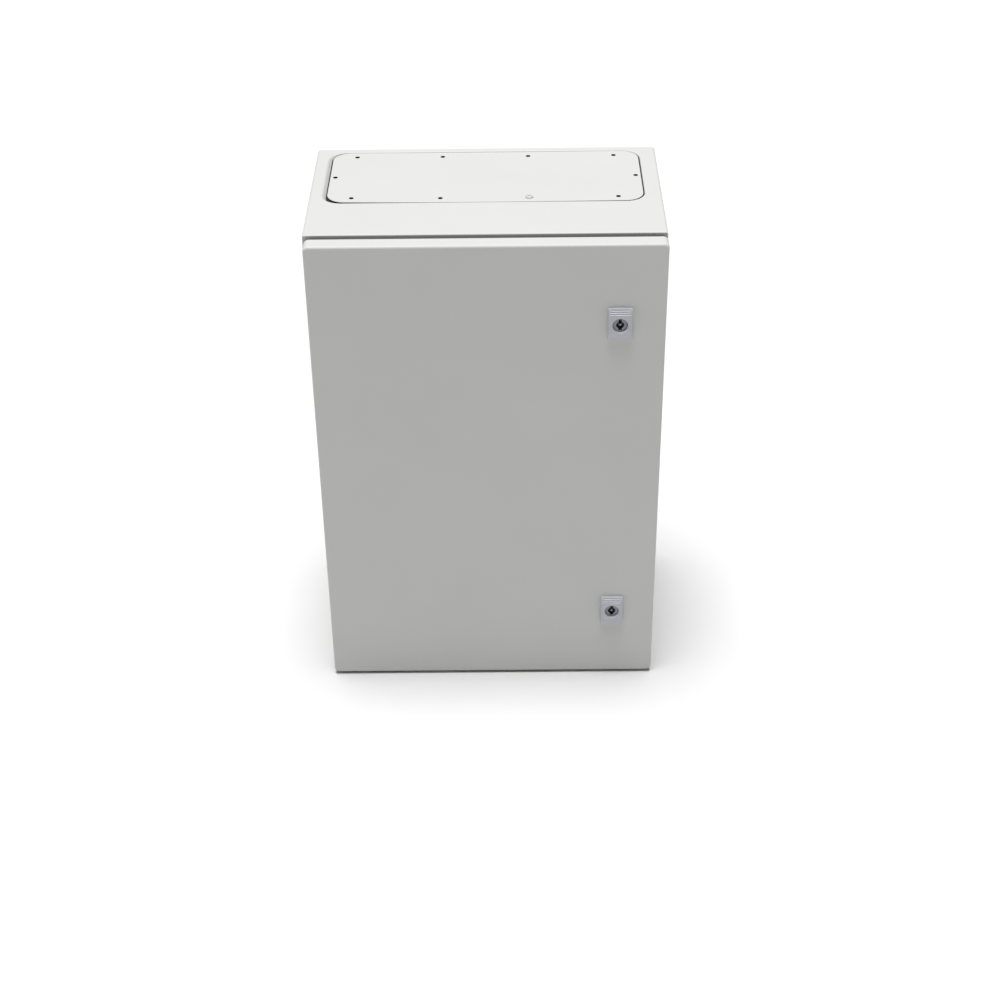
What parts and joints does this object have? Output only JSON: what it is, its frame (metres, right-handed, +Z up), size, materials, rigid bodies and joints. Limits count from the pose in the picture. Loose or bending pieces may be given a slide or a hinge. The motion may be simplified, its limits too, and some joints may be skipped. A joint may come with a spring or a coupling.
{
  "type": "automatic transfer switch cabinet",
  "caption": "Wall-mounting sheet-steel cabinet with a hinged locking door and a roof gland plate, holding a motor-driven double-throw transfer switch and its control row.",
  "frame": {"origin": "middle of the cabinet's flat base, on the surface it stands on", "axes": "+X to the right seen from the door, +Y towards the wall, +Z up"},
  "size_m": [0.4, 0.2555, 0.6026],
  "materials": {
    "cabinet_paint": "light grey powder coat, fine orange peel",
    "galvanised": "hot-dip galvanised sheet with a faint spangle",
    "zinc_plated": "bright zinc plate",
    "plain_steel": "bright steel",
    "lock_die_cast": "satin die-cast zinc",
    "black_foam": "cellular foam rubber",
    "black_plastic": "fine spark-eroded texture",
    "grey_plastic": "fine spark-eroded texture",
    "pale_plastic": "fine spark-eroded texture",
    "copper": "bare rolled copper bar",
    "red_plastic": "moulded",
    "clear_window": "clear polycarbonate",
    "display_glass": "dark display window",
    "button_green": "moulded",
    "button_amber": "moulded",
    "button_blue": "moulded",
    "wire_grey": "PVC wire insulation",
    "wire_earth": "green and yellow PVC wire insulation"
  },
  "bodies": {
    "cabinet": {"body_wrap": "cabinet_paint", "rear_wall": "cabinet_paint", "weld_studs": "plain_steel", "stud_nuts": "zinc_plated", "mounting_plate": "galvanised", "gland_gasket": "black_foam", "gland_plate": "cabinet_paint", "gland_screw": "zinc_plated", "body_hinge_leaves": "plain_steel", "hinge_pins": "zinc_plated", "switch_base": "black_plastic", "switch_cover": "grey_plastic", "cover_screws": "zinc_plated", "cover_window": "clear_window", "source_a_terminals": "copper", "source_b_terminals": "copper", "load_terminals": "copper", "terminal_bolts": "zinc_plated", "phase_barriers": "black_plastic", "arc_chutes": "galvanised", "gearbox_base": "black_plastic", "gearbox_cover": "grey_plastic", "gearmotor": "plain_steel", "motor_bracket": "galvanised", "din_rail": "galvanised", "end_stops": "grey_plastic", "breaker_bodies": "pale_plastic", "controller_case": "black_plastic", "controller_display": "display_glass", "terminal_blocks": "grey_plastic", "wiring_ducts": "grey_plastic", "duct_covers": "grey_plastic", "earth_bar": "copper", "neutral_bar": "copper", "control_wires": "wire_grey", "earth_wires": "wire_earth"},
    "door": {"door_pan": "cabinet_paint", "door_seal": "black_foam", "door_rails": "galvanised", "door_hinge_leaves": "plain_steel", "document_pocket": "pale_plastic", "lock_housings": "lock_die_cast", "lock_nuts": "zinc_plated", "door_earth_stud": "plain_steel", "earth_strap": "wire_earth"},
    "lock_upper": {"lock_insert_upper": "zinc_plated", "lock_cam_upper": "zinc_plated"},
    "lock_lower": {"lock_insert_lower": "zinc_plated", "lock_cam_lower": "zinc_plated"},
    "transfer_rotor": {"rotor_shaft": "pale_plastic", "contact_blades": "copper", "drive_gear": "plain_steel", "lever_handle": "red_plastic"},
    "motor_shaft": {"motor_pinion": "plain_steel"},
    "toggle_left": {"breaker_toggle_left": "black_plastic"},
    "toggle_right": {"breaker_toggle_right": "black_plastic"},
    "auto_button": {"button_auto": "button_green"},
    "manual_button": {"button_manual": "button_amber"},
    "test_button": {"button_test": "button_blue"}
  },
  "joints": [
    {"name": "door_hinge", "type": "hinge", "parent": "cabinet", "child": "door", "pos_m": [-0.1978, -0.104, 0.3], "axis": [0, 0, -1], "range_deg": [0, 120], "deforming": ["earth_strap"]},
    {"name": "upper_lock_turn", "type": "hinge", "parent": "door", "child": "lock_upper", "pos_m": [0.1485, -0.125, 0.5], "axis": [0, -1, 0], "range_deg": [0, 90]},
    {"name": "lower_lock_turn", "type": "hinge", "parent": "door", "child": "lock_lower", "pos_m": [0.1485, -0.125, 0.1], "axis": [0, -1, 0], "range_deg": [0, 90]},
    {"name": "transfer_lever", "type": "hinge", "parent": "cabinet", "child": "transfer_rotor", "pos_m": [0, 0.054, 0.34], "axis": [1, 0, 0], "range_deg": [-30, 30]},
    {"name": "motor_spin", "type": "hinge", "parent": "cabinet", "child": "motor_shaft", "pos_m": [0.052, 0.054, 0.298], "axis": [1, 0, 0], "range_deg": [-92, 92]},
    {"name": "left_breaker_toggle", "type": "hinge", "parent": "cabinet", "child": "toggle_left", "pos_m": [-0.104, 0.0405, 0.15], "axis": [1, 0, 0], "range_deg": [0, 80]},
    {"name": "right_breaker_toggle", "type": "hinge", "parent": "cabinet", "child": "toggle_right", "pos_m": [-0.0675, 0.0405, 0.15], "axis": [1, 0, 0], "range_deg": [0, 80]},
    {"name": "auto_press", "type": "slide", "parent": "cabinet", "child": "auto_button", "axis": [0, 1, 0], "range_m": [0, 0.002], "stiffness_N_per_m": 200},
    {"name": "manual_press", "type": "slide", "parent": "cabinet", "child": "manual_button", "axis": [0, 1, 0], "range_m": [0, 0.002], "stiffness_N_per_m": 200},
    {"name": "test_press", "type": "slide", "parent": "cabinet", "child": "test_button", "axis": [0, 1, 0], "range_m": [0, 0.002], "stiffness_N_per_m": 200}
  ],
  "couplings": [
    {"joint": "motor_spin", "follows": "transfer_lever", "ratio": -3}
  ]
}
